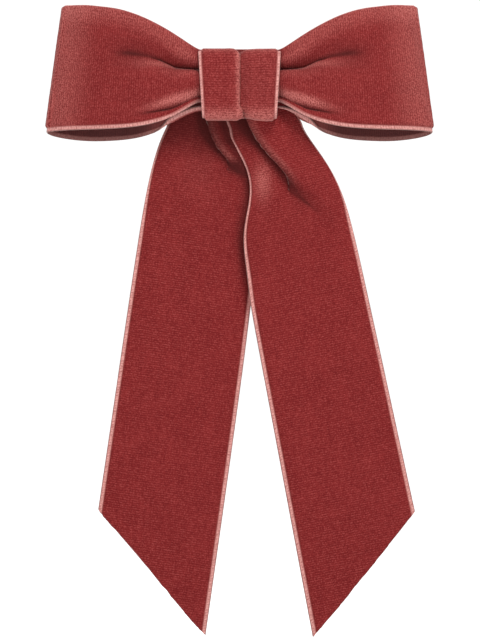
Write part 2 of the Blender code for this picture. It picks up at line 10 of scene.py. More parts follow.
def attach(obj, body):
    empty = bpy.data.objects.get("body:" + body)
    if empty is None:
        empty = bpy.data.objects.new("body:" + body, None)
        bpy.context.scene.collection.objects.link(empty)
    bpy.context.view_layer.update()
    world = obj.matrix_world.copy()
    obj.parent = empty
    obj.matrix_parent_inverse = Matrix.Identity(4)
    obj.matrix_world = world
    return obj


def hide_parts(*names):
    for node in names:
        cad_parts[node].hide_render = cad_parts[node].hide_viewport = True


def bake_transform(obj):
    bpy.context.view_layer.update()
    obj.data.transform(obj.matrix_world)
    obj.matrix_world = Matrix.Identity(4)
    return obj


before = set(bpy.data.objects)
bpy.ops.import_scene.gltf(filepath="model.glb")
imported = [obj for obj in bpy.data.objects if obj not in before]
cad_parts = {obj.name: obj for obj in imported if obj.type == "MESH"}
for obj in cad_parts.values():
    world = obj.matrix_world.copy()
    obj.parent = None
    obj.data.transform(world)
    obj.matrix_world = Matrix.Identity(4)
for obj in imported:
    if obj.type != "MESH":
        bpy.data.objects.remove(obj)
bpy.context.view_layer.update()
mm = 0.001
print("clip and bow solids loaded")


# shapes of a rise, a fade and a bump, for places in mm
def ease(share):
    share = min(1.0, max(0.0, share))
    return share * share * (3 - 2 * share)


def mixed(a, b, share):
    return a + (b - a) * share


def fadeOut(distance, reach, power=2.0):
    return math.exp(-((max(0.0, distance) / reach) ** power))


def bump(position, middle, reach):
    return math.exp(-(((position - middle) / reach) ** 2))


def gentle(x, y, seed, size):
    # slow noise from -1 to 1
    return noise.noise(Vector((x / size, y / size, seed)))


def between(a, b, c, d, t):
    # a smooth curve from b to c, with a before it and d after it
    square, cube = 2 * a - 5 * b + 4 * c - d, 3 * b - a - 3 * c + d
    return 0.5 * (2 * b + (c - a) * t + square * t**2 + cube * t**3)


def smoothLine(points, share):
    # the point at a share of a smooth line's length, the points being its corners
    gaps = [max(1e-6, (b - a).length) for a, b in zip(points, points[1:])]
    reach = share * sum(gaps)
    i = 0
    while i < len(gaps) - 1 and reach > gaps[i]:
        reach -= gaps[i]
        i += 1
    t = min(1.0, reach / gaps[i])
    a, b = points[max(0, i - 1)], points[i]
    c, d = points[i + 1], points[min(len(points) - 1, i + 2)]
    return between(a, b, c, d, t)


def ringLine(points, share):
    # the same round a closed line, with even steps from point to point
    count = len(points)
    i = int(share * count) % count
    t = share * count - int(share * count)
    return between(*(points[(i + k) % count] for k in (-1, 0, 1, 2)), t)


class Wire:
    # a socket that can stand in sums, and the way to add a node beside it
    def __init__(self, tree, socket=None):
        self.tree = tree
        self.socket = socket

    def add(self, kind, settings=None, values=None, out=0):
        node = self.tree.nodes.new(kind)
        for name, value in (settings or {}).items():
            if name == "stops":
                while len(node.color_ramp.elements) < len(value):
                    node.color_ramp.elements.new(1.0)
                for element, (position, colour) in zip(node.color_ramp.elements, value):
                    element.position = position
                    element.color = (*colour, 1.0)
            else:
                setattr(node, name, value)
        for name, value in (values or {}).items():
            if isinstance(value, Wire):
                self.tree.links.new(value.socket, node.inputs[name])
            else:
                node.inputs[name].default_value = value
        return Wire(self.tree, node.outputs[out])

    def maths(self, operation, a, b=0.0, clamp=False):
        settings = {"operation": operation, "use_clamp": clamp}
        return self.add("ShaderNodeMath", settings, {0: a, 1: b})

    def __add__(self, other):
        return self.maths("ADD", self, other)

    def __radd__(self, other):
        return self.maths("ADD", other, self)

    def __sub__(self, other):
        return self.maths("SUBTRACT", self, other)

    def __rsub__(self, other):
        return self.maths("SUBTRACT", other, self)

    def __mul__(self, other):
        return self.maths("MULTIPLY", self, other)

    def __rmul__(self, other):
        return self.maths("MULTIPLY", other, self)

    def limited(self):
        return self.maths("ADD", self, 0.0, clamp=True)

    def wave(self, pitch):
        # 0 to 1 and back once in each pitch
        return self.maths("SINE", self * (math.tau / pitch)) * 0.5 + 0.5

    def attribute(self, name):
        return self.add("ShaderNodeAttribute", {"attribute_name": name}, out="Fac")

    def noise(self, place, scale, detail=2.0, roughness=0.5):
        values = {"Vector": place, "Scale": scale, "Detail": detail, "Roughness": roughness}
        return self.add("ShaderNodeTexNoise", {}, values, out="Fac")

    def band(self, low, high):
        # 0 below low, 1 above high
        values = {"Value": self, "From Min": low, "From Max": high}
        return self.add("ShaderNodeMapRange", {"interpolation_type": "SMOOTHSTEP"}, values)

    def colours(self, low, high):
        # a colour between two, by this value
        values = {0: self, 6: low if isinstance(low, Wire) else (*low, 1.0)}
        values[7] = high if isinstance(high, Wire) else (*high, 1.0)
        return self.add("ShaderNodeMix", {"data_type": "RGBA"}, values, out=2)


def newMaterial(name):
    made = bpy.data.materials.new(name)
    made.use_nodes = True
    shader = made.node_tree.nodes["Principled BSDF"]
    return made, Wire(made.node_tree), shader


def plug(wire, shader, socket):
    wire.tree.links.new(wire.socket, shader.inputs[socket])


def setUniform(shader, values):
    for name, value in values.items():
        shader.inputs[name].default_value = value


def plugRelief(start, shader, height, strength, distance):
    values = {"Height": height, "Strength": strength, "Distance": distance}
    plug(start.add("ShaderNodeBump", {}, values), shader, "Normal")


# the velvet ribbon that the whole bow is cut from, in mm
ribbonCut = {
    "width": 38.0,
    "selvedge": 1.28,
    "selvedgeRise": 0.30,
    "pile": 0.95,  # above the ground cloth
    "pileSlope": 0.7,  # the pile's rise beside the selvedge
    "back": 0.22,
    "edgeRound": 0.3,
    "edgeSteps": (0.0, 0.12, 0.4, 0.8, 1.22, 1.36, 1.5, 1.7, 2.0, 2.5, 3.1),
    "middleSteps": 40,
    "pressed": 0.75,  # of the thickness, at a cut end
    "stray": 0.07,  # uneven height of the pile
    "foldShadeFrom": (0.10, 0.6),  # fold depth where painted shade starts to darken the pile, and over how much
    "ridgeFrom": (0.12, 0.7, 0.25),  # the same for ridges, lightened as rubbed pile and painted highlight, and by how much
}

velvetLook = {
    "pile": (0.245, 0.0255, 0.0250),
    "pileDeep": (0.130, 0.0085, 0.0095),
    # pile tips, wear and painted highlights
    "pileTipsAndHighlight": (0.470, 0.135, 0.120),
    # painted shade for folds, creases and places under other layers
    "pilePaintedShade": (0.050, 0.0075, 0.0070),
    "ribPitch": 0.72,  # mm
    "tuftSize": 0.45,  # mm
    "sheen": 0.30,
    "sheenTint": (1.0, 0.62, 0.56, 1.0),
    "sheenRoughness": 0.35,
    "bump": 0.34,
}


def ribbonPlace(start):
    along = start.attribute("along")
    across = start.attribute("across")
    parts = {"X": across, "Y": along, "Z": start.attribute("seed")}
    return along, across, start.add("ShaderNodeCombineXYZ", {}, parts)


def makeVelvet():
    look = velvetLook
    made, start, shader = newMaterial("velvetPile")
    along, across, place = ribbonPlace(start)
    hollow = start.attribute("hollow")
    worn = start.attribute("worn")
    drift = start.noise(place, 0.35, 2.0)
    ribs = (along + drift * 0.6).wave(look["ribPitch"])
    tufts = start.noise(place, 1 / look["tuftSize"], 2.0, 0.6).band(0.33, 0.67)
    clumps = start.noise(place, 0.75, 2.0)
    drawn = start.add("ShaderNodeMapping", {}, {"Vector": place, "Scale": (1.1, 0.10, 1.0)})
    streaks = start.noise(drawn, 1.0, 2.0)
    mottle = start.noise(place, 0.14, 3.0)
    grain = (ribs * 0.27 + tufts * 0.38 + clumps * 0.42).band(0.12, 1.02)
    shade = (grain * 0.60 + mottle * 0.30 + streaks * 0.25).band(0.18, 0.95)
    body = shade.colours(look["pileDeep"], look["pile"])
    tips = (tufts * 0.6 + ribs * 0.25 + clumps * 0.4).band(0.72, 1.05) * 0.20
    body = tips.colours(body, look["pileTipsAndHighlight"])
    # painted highlight and wear: lighter pile, speckled by the tufts
    rubbedAndLit = (worn * (0.10 + tufts * 0.95 + ribs * 0.35)).limited()
    body = rubbedAndLit.colours(body, look["pileTipsAndHighlight"])
    # painted shade: darker in fold hollows, creases and under other layers
    body = hollow.colours(body, look["pilePaintedShade"])
    plug(body, shader, "Base Color")
    height = ribs * 0.3 + tufts * 0.5 + clumps * 0.4
    plugRelief(start, shader, height, look["bump"], 0.0004)
    setUniform(shader, {
        "Roughness": 0.9,
        "Specular IOR Level": 0.1,
        "Sheen Weight": look["sheen"],
        "Sheen Roughness": look["sheenRoughness"],
        "Sheen Tint": look["sheenTint"],
    })
    return made


# the woven edge, from its outer thread in to the pile, with a painted shadow along its very edge
selvedgeLook = {
    "thread": (0.670, 0.320, 0.290),
    # painted shadow along the very edge
    "outer": (0.270, 0.125, 0.110),
    "between": (0.330, 0.090, 0.080),
    "shaded": (0.130, 0.042, 0.036),
    "toothPitch": 0.85,  # mm
    "strandPitch": 0.42,
    "edgeShadeBand": (0.08, 0.42),
    "innerBand": (0.95, 1.28),
}


def makeSelvedge():
    look = selvedgeLook
    made, start, shader = newMaterial("wovenSelvedge")
    along, across, place = ribbonPlace(start)
    fine = start.noise(place, 1.5, 3.0, 0.6)
    teeth = (along + across * 0.3 + fine * 0.5).wave(look["toothPitch"])
    strands = across.wave(look["strandPitch"])
    tone = (teeth * 0.14 + strands * 0.12 + fine * 1.0).band(0.30, 0.85)
    body = tone.colours(look["between"], look["thread"])
    fromEdge = start.maths("MINIMUM", across, ribbonCut["width"] - across)
    # painted shadow: the outermost strip is darker
    body = fromEdge.band(*look["edgeShadeBand"]).colours(look["outer"], body)
    body = fromEdge.band(*look["innerBand"]).colours(body, look["between"])
    # painted shade in folds and under other layers
    body = start.attribute("hollow").colours(body, look["shaded"])
    plug(body, shader, "Base Color")
    height = teeth * 0.35 + strands * 0.4 + fine * 0.6
    plugRelief(start, shader, height, 0.35, 0.0003)
    setUniform(shader, {
        "Roughness": 0.65,
        "Specular IOR Level": 0.25,
        "Sheen Weight": 0.2,
        "Sheen Roughness": 0.4,
        "Sheen Tint": (1.0, 0.8, 0.75, 1.0),
    })
    return made


# the ribbon's plain woven back
reverseLook = {
    "light": (0.270, 0.052, 0.047),
    "dark": (0.120, 0.019, 0.018),
    "shaded": (0.045, 0.0080, 0.0075),
    "warpPitch": 0.42,  # mm
    "weftPitch": 0.58,
}


def makeReverse():
    look = reverseLook
    made, start, shader = newMaterial("wovenReverse")
    along, across, place = ribbonPlace(start)
    fine = start.noise(place, 1.4, 2.0)
    weft = (along + fine * 0.1).wave(look["weftPitch"])
    warp = (across + fine * 0.1).wave(look["warpPitch"])
    mottle = start.noise(place, 0.2, 2.0)
    tone = (weft * 0.35 + warp * 0.25 + fine * 0.25 + mottle * 0.3).band(0.2, 0.9)
    body = tone.colours(look["dark"], look["light"])
    # painted shade in folds and under other layers
    body = start.attribute("hollow").colours(body, look["shaded"])
    plug(body, shader, "Base Color")
    height = weft * 0.6 + warp * 0.4 + fine * 0.2
    plugRelief(start, shader, height, 0.5, 0.0002)
    setUniform(shader, {"Roughness": 0.6, "Specular IOR Level": 0.2, "Sheen Weight": 0.05})
    return made


velvet, selvedge, reverse = makeVelvet(), makeSelvedge(), makeReverse()
print("ribbon finishes made")


def ribbonStations():
    # distances across the ribbon, in mm, close together at its edges
    steps = ribbonCut["edgeSteps"]
    width = ribbonCut["width"]
    middle = np.linspace(steps[-1], width - steps[-1], ribbonCut["middleSteps"])[1:-1]
    return [*steps, *middle, *(width - step for step in reversed(steps))]


stations = ribbonStations()


def pileHeight(across):
    edge = min(across, ribbonCut["width"] - across)
    if edge < ribbonCut["selvedge"]:
        return ribbonCut["selvedgeRise"] * min(1.0, edge / ribbonCut["edgeRound"]) ** 0.5
    rise = ease((edge - ribbonCut["selvedge"]) / ribbonCut["pileSlope"]) ** 0.6
    return mixed(ribbonCut["selvedgeRise"], ribbonCut["pile"], rise)


def backHeight(across):
    edge = min(across, ribbonCut["width"] - across)
    return ribbonCut["back"] * min(1.0, edge / ribbonCut["edgeRound"]) ** 0.5


def linkMesh(name, bm, *finishes):
    mesh = bpy.data.meshes.new(name)
    bm.to_mesh(mesh)
    bm.free()
    for finish in finishes:
        mesh.materials.append(finish)
    made = bpy.data.objects.new(name, mesh)
    bpy.context.scene.collection.objects.link(made)
    return made


def makeRibbon(name, look, place, painted, closed=False, lengthways=None):
    # place(share along, share across) gives the ground cloth's points in mm;
    # painted(share along, share across, point, on the pile) gives the wear and painted highlight
    # there, and the painted shade
    width, rows = ribbonCut["width"], look["rows"]
    shares = [a / width for a in stations]
    lineShares = [i / rows if closed else i / (rows - 1) for i in range(rows)]
    cloth = np.array([[place(u, a) for a in shares] for u in lineShares], float)
    if closed:
        downRows = np.roll(cloth, -1, 0) - np.roll(cloth, 1, 0)
    else:
        downRows = np.gradient(cloth, axis=0)
    acrossRows = np.gradient(cloth, axis=1)
    normal = np.cross(downRows, acrossRows)  # out of the pile's side
    normal /= np.maximum(1e-9, np.linalg.norm(normal, axis=2, keepdims=True))
    steps = np.linalg.norm(np.diff(cloth, axis=0), axis=2).mean(1)
    along = np.concatenate([[0.0], np.cumsum(steps)])
    hollow = foldDepth(cloth, normal, closed)
    count = len(stations)
    ring = 2 * count - 2  # front from edge to edge, then back again

    lines = rows + 1 if closed else rows
    foldShadeFrom, foldShadeOver = ribbonCut["foldShadeFrom"]
    ridgeFrom, ridgeOver, ridgeWearAndLight = ribbonCut["ridgeFrom"]
    bm = bmesh.new()
    bmesh.ops.create_grid(bm, x_segments=ring, y_segments=lines - 1, size=1.0)
    names = ("along", "across", "hollow", "worn", "seed")
    layers = {key: bm.verts.layers.float.new(key) for key in names}
    rowLayer = bm.verts.layers.int.new("row")
    spotLayer = bm.verts.layers.int.new("spot")
    for index, vert in enumerate(bm.verts):
        row, spot = divmod(index, ring + 1)
        row, spot = row % rows, spot % ring
        column = spot if spot < count else ring - spot
        front = spot < count
        across = stations[column]
        if spot in (0, count - 1):
            lift = 0.0
        else:
            lift = pileHeight(across) if front else -backHeight(across)
        if not closed and row in (0, rows - 1):
            lift *= ribbonCut["pressed"]
        ground = cloth[row, column]
        point = ground + normal[row, column] * lift
        if lift > 0.5:
            stray = noise.noise(Vector(point) * 1.9) * 0.5 + noise.noise(Vector(point) * 0.6)
            point = point + normal[row, column] * ribbonCut["stray"] * stray
        vert.co = Vector(point) * mm
        vert[layers["along"]] = Vector(ground).dot(lengthways) if lengthways else along[row]
        vert[layers["across"]] = across
        vert[layers["seed"]] = look["seed"]
        dent = float(hollow[row, column])
        rubbedAndLit, dark = painted(lineShares[row], shares[column], ground, front)
        # painted shade: darker in fold hollows and where painted() puts shade
        vert[layers["hollow"]] = min(1.0, ease((dent - foldShadeFrom) / foldShadeOver) + dark)
        # painted highlight and wear: lighter on ridges and where painted() puts it
        vert[layers["worn"]] = min(1.0, ease((-ridgeFrom - dent) / ridgeOver) * ridgeWearAndLight + rubbedAndLit)
        vert[rowLayer] = row
        vert[spotLayer] = spot
    bmesh.ops.remove_doubles(bm, verts=bm.verts, dist=1e-8)
    if not closed:
        bmesh.ops.edgeloop_fill(bm, edges=[e for e in bm.edges if e.is_boundary])
    bmesh.ops.recalc_face_normals(bm, faces=bm.faces)
    edgeWidth = ribbonCut["selvedge"] + 0.1
    for face in bm.faces:
        face.smooth = True
        middle = sum(v[layers["across"]] for v in face.verts) / len(face.verts)
        spots = [v[spotLayer] for v in face.verts]
        if len(face.verts) > 4:
            face.material_index = 1
        elif min(middle, width - middle) < edgeWidth:
            face.material_index = 1
        else:
            face.material_index = 0 if max(spots) < count else 2
    made = linkMesh(name, bm, velvet, selvedge, reverse)
    print(name, "made,", len(made.data.polygons), "faces,", round(along[-1], 1), "mm long")
    return made, along[-1]


def foldDepth(cloth, normal, closed):
    # above 0 in a fold's hollow, below 0 on its ridge
    result = np.zeros(cloth.shape[:2])
    for reach, weight in ((2, 0.6), (4, 0.4)):
        if closed:
            up, down = np.roll(cloth, reach, 0), np.roll(cloth, -reach, 0)
        else:
            rows = np.arange(cloth.shape[0])
            up = cloth[np.clip(rows - reach, 0, None)]
            down = cloth[np.clip(rows + reach, None, cloth.shape[0] - 1)]
        columns = np.arange(cloth.shape[1])
        left = cloth[:, np.clip(columns - reach, 0, None)]
        right = cloth[:, np.clip(columns + reach, None, cloth.shape[1] - 1)]
        sideways = ((left + right) / 2 - cloth) * (
            (columns >= reach) & (columns < cloth.shape[1] - reach)
        )[None, :, None]
        lengthways = (up + down) / 2 - cloth
        result += weight * ((sideways + lengthways * 0.5) * normal).sum(2) / (0.55 * reach)
    return np.clip(result, -1.0, 1.0)


# the bow's loops are one closed ribbon, gathered at the knot
loopRibbon = {
    "rows": 400,
    "seed": 1.3,
    "knotSide": 12.5,  # from the middle, mm
    "outerFold": 58,
    "tilt": 0.15,  # slope of the outer folds
    # (out from the middle, towards the head, 0 front to 1 back), in mm
    "plan": (
        (0, -22.0, 0), (7, -22.2, 0), (13, -23.1, 0), (21, -23.95, 0), (30, -23.9, 0),
        (39, -22.2, 0), (47, -19.4, 0), (53.4, -16.2, 0.03), (57.5, -13.2, 0.2),
        (58.6, -10.6, 0.55), (57.4, -8.6, 0.92), (54.2, -7.7, 1), (49.5, -7.45, 1),
        (43, -7.6, 1), (34, -8.8, 1), (27, -11.6, 1), (20, -15.0, 1), (13, -17.2, 1),
        (6, -18.0, 1),
    ),
    # across the gathered front, from the lower selvedge up:
    # (share of the height, towards the head in mm)
    "gather": (
        (0.00, 0.9), (0.030, 0.1), (0.055, 0.7), (0.080, 2.9), (0.110, 2.8), (0.15, 1.2),
        (0.22, 0.0), (0.32, -0.7), (0.45, -1.1), (0.565, -0.9), (0.612, 0.1), (0.630, 2.6),
        (0.640, 5.2), (0.658, 5.9), (0.70, 4.4), (0.755, 2.2), (0.82, 0.5), (0.90, -0.2),
        (0.96, 0.2), (1.0, 0.9),
    ),
    "gatherHeight": 17.0,  # mm
    "gatherFade": (15.5, 2.2),  # reach out from the knot, power
    "backGather": -0.35,  # of the front's
    # how far the upper valley stands above its place: (out from the middle in mm, share)
    "valley": ((12.5, 0.02), (20.4, -0.02), (25.3, 0.035), (29.0, 0.045), (34.7, 0.0), (60, 0.0)),
    # height at the outer fold, change at the knot, its reach and power
    "topEdge": (25.7, -14.6, 14.9, 1.36),
    "lowFrontEdge": (-14.1, 8.6, 10.2, 1.4),
    "lowBackEdge": (-17.2, 8.6, 12.5, 1.7),
    "topHollow": (0.95, 27, 11),  # depth, place, reach
    "topCorner": (0.30, 44, 8),  # rise, start, length
    "lowCorner": (1.6, 43, 14, 2.2),  # rise, start, length, power
    "backDrop": (3.6, 20),  # the back layer's top edge stands lower; over how far
    "roll": 3.4,  # mm of the top edge that turns back
    "rollRadius": 2.1,
    "curl": 2.1,  # mm of the back layer's lower edge that turns forwards by the knot
    "curlRadius": 0.55,
    "crown": 0.9,
    "dent": (1.5, 10.0, 3.6, 35, 7.5),  # depth, height, its reach, out, its reach
    "frostHighlight": (1.35, 2.1, 1.15, 19, 8.0),  # painted highlight, above the groove, reach, out, reach
    "ridge": (0.60, 0.54, 0.05, 24, 8),  # painted highlight, share across, reach, out, reach
    "valleyShade": (0.75, 0.655, 0.028, 21, 9),
    "dentShade": (0.28, 9.0, 4.5, 35, 7),
    "grooveShade": (0.7, 0.8, 20, 9),
    "groove": (-4.5, -0.31, 13.6),  # height, slope, from how far out
}


def spotOf(amount, *places):
    # an amount that fades round a middle: (position, middle, reach) for each direction
    for position, middle, reach in places:
        amount *= bump(position, middle, reach)
    return amount


def loopEdges(out, back):
    # lowest and highest height of the loop ribbon, in mm
    look = loopRibbon
    side = max(0.0, out - look["knotSide"])

    def edge(height, change, reach, power):
        return height + change * fadeOut(side, reach, power)

    hollow, middle, reach = look["topHollow"]
    rise, start, length = look["topCorner"]
    top = edge(*look["topEdge"]) - hollow * bump(out, middle, reach)
    top += rise * ease((out - start) / length)
    rise, start, length, power = look["lowCorner"]
    lowBack = edge(*look["lowBackEdge"]) + rise * max(0.0, (out - start) / length) ** power
    drop, over = look["backDrop"]
    backTop = top - drop * ease(side / over)
    low = mixed(edge(*look["lowFrontEdge"]), lowBack, back)
    return low, mixed(top, backTop, ease((back - 0.45) / 0.55))


def makeLoops():
    look = loopRibbon
    right = [Vector(p) for p in look["plan"]]
    left = [Vector((-p.x, p.y, p.z)) for p in reversed(right[1:])]
    # the middle of the back lies between the last right point and the first left one
    middleBack = Vector((0, right[-1].y, 1))
    plan = [*right, middleBack, *left]
    lengths = [Vector((w * look["gatherHeight"], d, 0)) for w, d in look["gather"]]
    rollStart = 1 - look["roll"] / ribbonCut["width"]

    def section(share, amount):
        # where the ribbon's share across lies: (share of height, depth)
        point = smoothLine(lengths, share)
        return mixed(share, point.x / look["gatherHeight"], amount), point.y * amount

    def place(u, a):
        spot = ringLine(plan, u)
        out, back = abs(spot.x), min(1.0, max(0.0, spot.z))
        side = math.copysign(1.0, spot.x)
        away = max(0.0, out - look["knotSide"])
        amount = fadeOut(away, *look["gatherFade"])
        inside = ease((look["knotSide"] - 1 - out) / 5)
        rollRadius = look["rollRadius"]
        bent = max(0.0, a - rollStart) * ribbonCut["width"] / rollRadius
        height, depth = section(min(1.0, a / rollStart), amount)
        height += amount * np.interp(out, *zip(*look["valley"])) * (1 - (2 * height - 1) ** 4)
        if back > 0.5:
            depth = depth * look["backGather"]
            radius = look["curlRadius"]
            curl = look["curl"] * ease((30 - out) / 10)
            curled = max(0.0, curl - a * ribbonCut["width"]) / radius
            depth += radius * (math.cos(curled) - 1)
            height += radius * (curled - math.sin(curled)) / 20
        depth *= 1 - 0.55 * inside
        low, high = loopEdges(out, back)
        z = mixed(low, high - rollRadius, height) + rollRadius * math.sin(bent)
        depth += rollRadius * (1 - math.cos(bent)) * (1 - back * 1.6)
        flat = 1 - amount
        crown = look["crown"] * (2 * a - 1) ** 2
        wobble = gentle(spot.x, z, 3.1 + back * 7, 17) * 0.7 + gentle(spot.x, z, 9.2, 8) * 0.2
        depth += flat * (crown * (1 - back) + wobble)
        # the valley runs on outwards as a soft dent
        dent, level, levelReach, middle, reach = look["dent"]
        depth += spotOf(dent, (z, level, levelReach), (out, middle, reach)) * (1 - back)
        slant = look["tilt"] * (a - 0.5) * ribbonCut["width"] * (out / look["outerFold"]) ** 2
        return (spot.x - side * slant, spot.y + depth, z)

    def painted(u, a, point, onPile):
        spot = ringLine(plan, u)
        out, back = abs(spot.x), spot.z
        if back > 0.35:
            # the lower edge of the back layer lies in shade
            shade = 0.80 * ease((back - 0.35) / 0.3) * ease((out - 22) / 10)
            return 0.10, shade if a < 0.045 or not onPile else 0.0

        def patch(name, position, shift=0.0):
            amount, level, levelReach, middle, reach = look[name]
            return spotOf(amount, (position, shift + level, levelReach), (out, middle, reach))

        z = point[2]
        start, slope, outFrom = look["groove"]
        groove = start + slope * (out - outFrom)
        # painted highlights: a frosted lit strip above the lower groove, and the lit ridge below
        # the upper valley
        frostHighlight = patch("frostHighlight", z, groove)
        ridge = patch("ridge", a)
        # painted highlights on the outer fold ends and along the top edge, where the sheen catches
        # the bend; 0.03 adds faint speckle everywhere
        foldEnds = 0.36 * ease((out - 44) / 12)
        topEdge = 0.30 * ease((a - 0.78) / 0.14) * ease((out - 12) / 6)
        ends = 0.03 + foldEnds + topEdge
        amount, grooveReach, middle, reach = look["grooveShade"]
        # painted shade in the upper valley, in the dent, where the loops go under the knot, and in
        # the lower groove
        dark = patch("valleyShade", a) + patch("dentShade", z)
        dark += 0.40 * ease((15.0 - out) / 2.5)
        dark += spotOf(amount, (z, groove, grooveReach), (out, middle, reach))
        return frostHighlight + ridge + ends, dark

    made = makeRibbon("loopRibbon", look, place, painted, closed=True)[0]
    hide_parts("loop_ribbon")
    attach(made, "bow")
    return made


loops = makeLoops()


# knot
knotBand = {
    "rows": 150,
    "seed": 4.4,
    "height": 22.6,  # outside, mm
    "front": -26.2,
    "back": -15.5,
    "square": 0.42,  # 1 is an ellipse, 0 a box
    "halfWidth": 12.45,
    "spread": 0.060,  # wider at the top
    "creaseDepth": 2.1,
    "crease": -0.6,
    "creaseTurn": 2.9,
    "creaseTurnFrom": -6.8,
}


def knotOutline():
    # the band seen from the side, starting and ending at the middle of its back
    look = knotBand
    half = look["height"] / 2 - ribbonCut["pile"]
    middle = (look["front"] + look["back"]) / 2
    depth = (look["back"] - look["front"]) / 2 - ribbonCut["pile"]
    points = []
    for step in range(49):
        turn = math.tau * step / 48
        y, z = math.cos(turn), math.sin(turn)
        points.append(Vector((
            0,
            middle + depth * math.copysign(abs(y) ** look["square"], y),
            half * math.copysign(abs(z) ** look["square"], z),
        )))
    return points


def creaseAcross(z):
    # the fold's edge runs down the middle and turns right near the band's foot
    look = knotBand
    return look["crease"] + look["creaseTurn"] * ease((look["creaseTurnFrom"] - z) / 5.0)


def makeKnot():
    look = knotBand
    closedLine = knotOutline()

    def place(u, a):
        spot = smoothLine(closedLine, u)
        frontness = mixed(0.5, 1.0, ease((-21.5 - spot.y) / 3.5))
        half = look["halfWidth"] + look["spread"] * spot.z
        half = mixed(10.4, half, ease((-15.0 - spot.y) / 5))
        frontness *= 1 - 0.55 * ease((-8.0 - spot.z) / 3.5) - 0.35 * ease((spot.z - 8.5) / 3.0)
        crease = creaseAcross(spot.z)
        low = look["creaseDepth"]
        # (across, sunk towards the middle), left selvedge to right one through the fold
        section = (
            (-half, 0.05), (-half + 1.4, -0.1), (-half * 0.55, -0.15),
            (crease - 2.4, -0.30), (crease - 0.6, -0.35), (crease + 0.15, -0.05),
            (crease - 0.1, 0.7), (crease - 2.0, 1.1), (crease - 3.6, 1.3),
            (crease - 3.6, low), (crease - 1.6, low), (crease + 0.2, 1.7),
            (crease + 0.9, 1.0), (crease + 1.9, 0.5), (crease + 3.8, 0.2),
            (half * 0.65, 0.0), (half - 1.4, 0.0), (half, 0.15),
        )
        folded = smoothLine([Vector((x, sunk, 0)) for x, sunk in section], a)
        plain = Vector((mixed(-half, half, a), 0, 0))
        point = plain.lerp(folded, frontness)
        sag = gentle(point.x, spot.z, 5.5, 7) * 0.25
        # sunk towards the band's middle, whichever way it faces there
        inward = Vector((0, -21.0 - spot.y, -spot.z * 0.55))
        inward.normalize()
        sunk = inward * (point.y + sag)
        return (point.x, spot.y + sunk.y, spot.z + sunk.z)

    def painted(u, a, point, onPile):
        x, y, z = point
        if y > -19:
            return 0.0, 0.0
        crease = creaseAcross(z)
        # painted highlights on the rounded foot and top edge, where the sheen catches the roll, and
        # a light line along the fold's edge; a little more lightening right of the fold
        streak = 0.25 * gentle(x, 0.0, 2.2, 0.9)
        foot = (1.3 + streak) * bump(z, -11.2, 2.6)
        top = 0.60 * bump(z, 11.0, 1.2)
        lipHighlight = 0.75 * bump(x, crease - 0.15, 0.4)
        left = 0.05 + 0.06 * ease((x - crease) / 2)
        # painted shade right of the fold's edge
        dark = 0.8 * bump(x, crease + 0.62, 0.35) + 0.16 * bump(x, crease + 1.8, 1.6)
        return foot + top + lipHighlight + left, dark

    made, length = makeRibbon("knotBand", look, place, painted, closed=True)
    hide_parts("knot_band")
    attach(made, "bow")
    return made, length


knot, knotLength = makeKnot()


# tails
tails = {
    "top": 4.0,  # mm, inside the knot
    "fray": 0.45,
    "left": {
        "tip": (-10.85, -175.3), "cut": (-45.15, -135.1),
        "outerSlope": 0.1467, "innerSlope": 0.1425,
        "outerTuck": 3.9, "outerReach": 10.5, "innerTuck": 10.0, "innerReach": 20.0, "depth": -12.1,
        # the pleat: (amount in mm, height where it starts to change, over how far)
        "under": (5.5, -12.0, 10.5), "opened": (6.0, -21.0, 8.0), "lift": (1.5, -19.0, 12.0),
        "evenBelow": -25.0, "rows": 300, "seed": 7.7,
    },
    "right": {
        "tip": (23.3, -175.4), "cut": (55.9, -135.4), "outerSlope": 0.2180, "innerSlope": 0.188,
        "outerTuck": 9.1, "outerReach": 13.8, "depth": -15.6,
        "bulge": 7.1, "bulgeAt": -29.5, "bulgeReach": 15.8,
        "under": (7.0, -12.0, 17.0), "opened": (9.5, -26.0, 14.0), "lift": (2.3, -24.0, 23.0),
        "evenBelow": -41.0, "rows": 300, "seed": 12.1,
    },
}


def leftEdges(z):
    look = tails["left"]
    down = max(0.0, -12.7 - z)
    outer = look["cut"][0] + look["outerSlope"] * (z - look["cut"][1])
    outer += look["outerTuck"] * fadeOut(down, look["outerReach"], 1)
    inner = look["tip"][0] + look["innerSlope"] * (z - look["tip"][1])
    inner -= look["innerTuck"] * fadeOut(down, look["innerReach"], 1)
    squeeze = ease((z + 12.7) / 14)
    return mixed(outer, -11.5, squeeze), mixed(inner, 0.5, squeeze)


def rightEdges(z):
    look = tails["right"]
    down = max(0.0, -12.7 - z)
    outer = look["cut"][0] - look["outerSlope"] * (z - look["cut"][1])
    outer -= look["outerTuck"] * fadeOut(down, look["outerReach"], 1.5)
    inner = look["tip"][0] - look["innerSlope"] * (z - look["tip"][1])
    swell = look["bulge"] * bump(z, look["bulgeAt"], look["bulgeReach"])
    swell += 0.6 * bump(z, -58, 9)
    swell += 1.3 * ease((z + 17.5) / 5)
    inner += swell
    squeeze = ease((z + 12.7) / 14)
    return mixed(inner, -2.5, squeeze), mixed(outer, 11.5, squeeze)


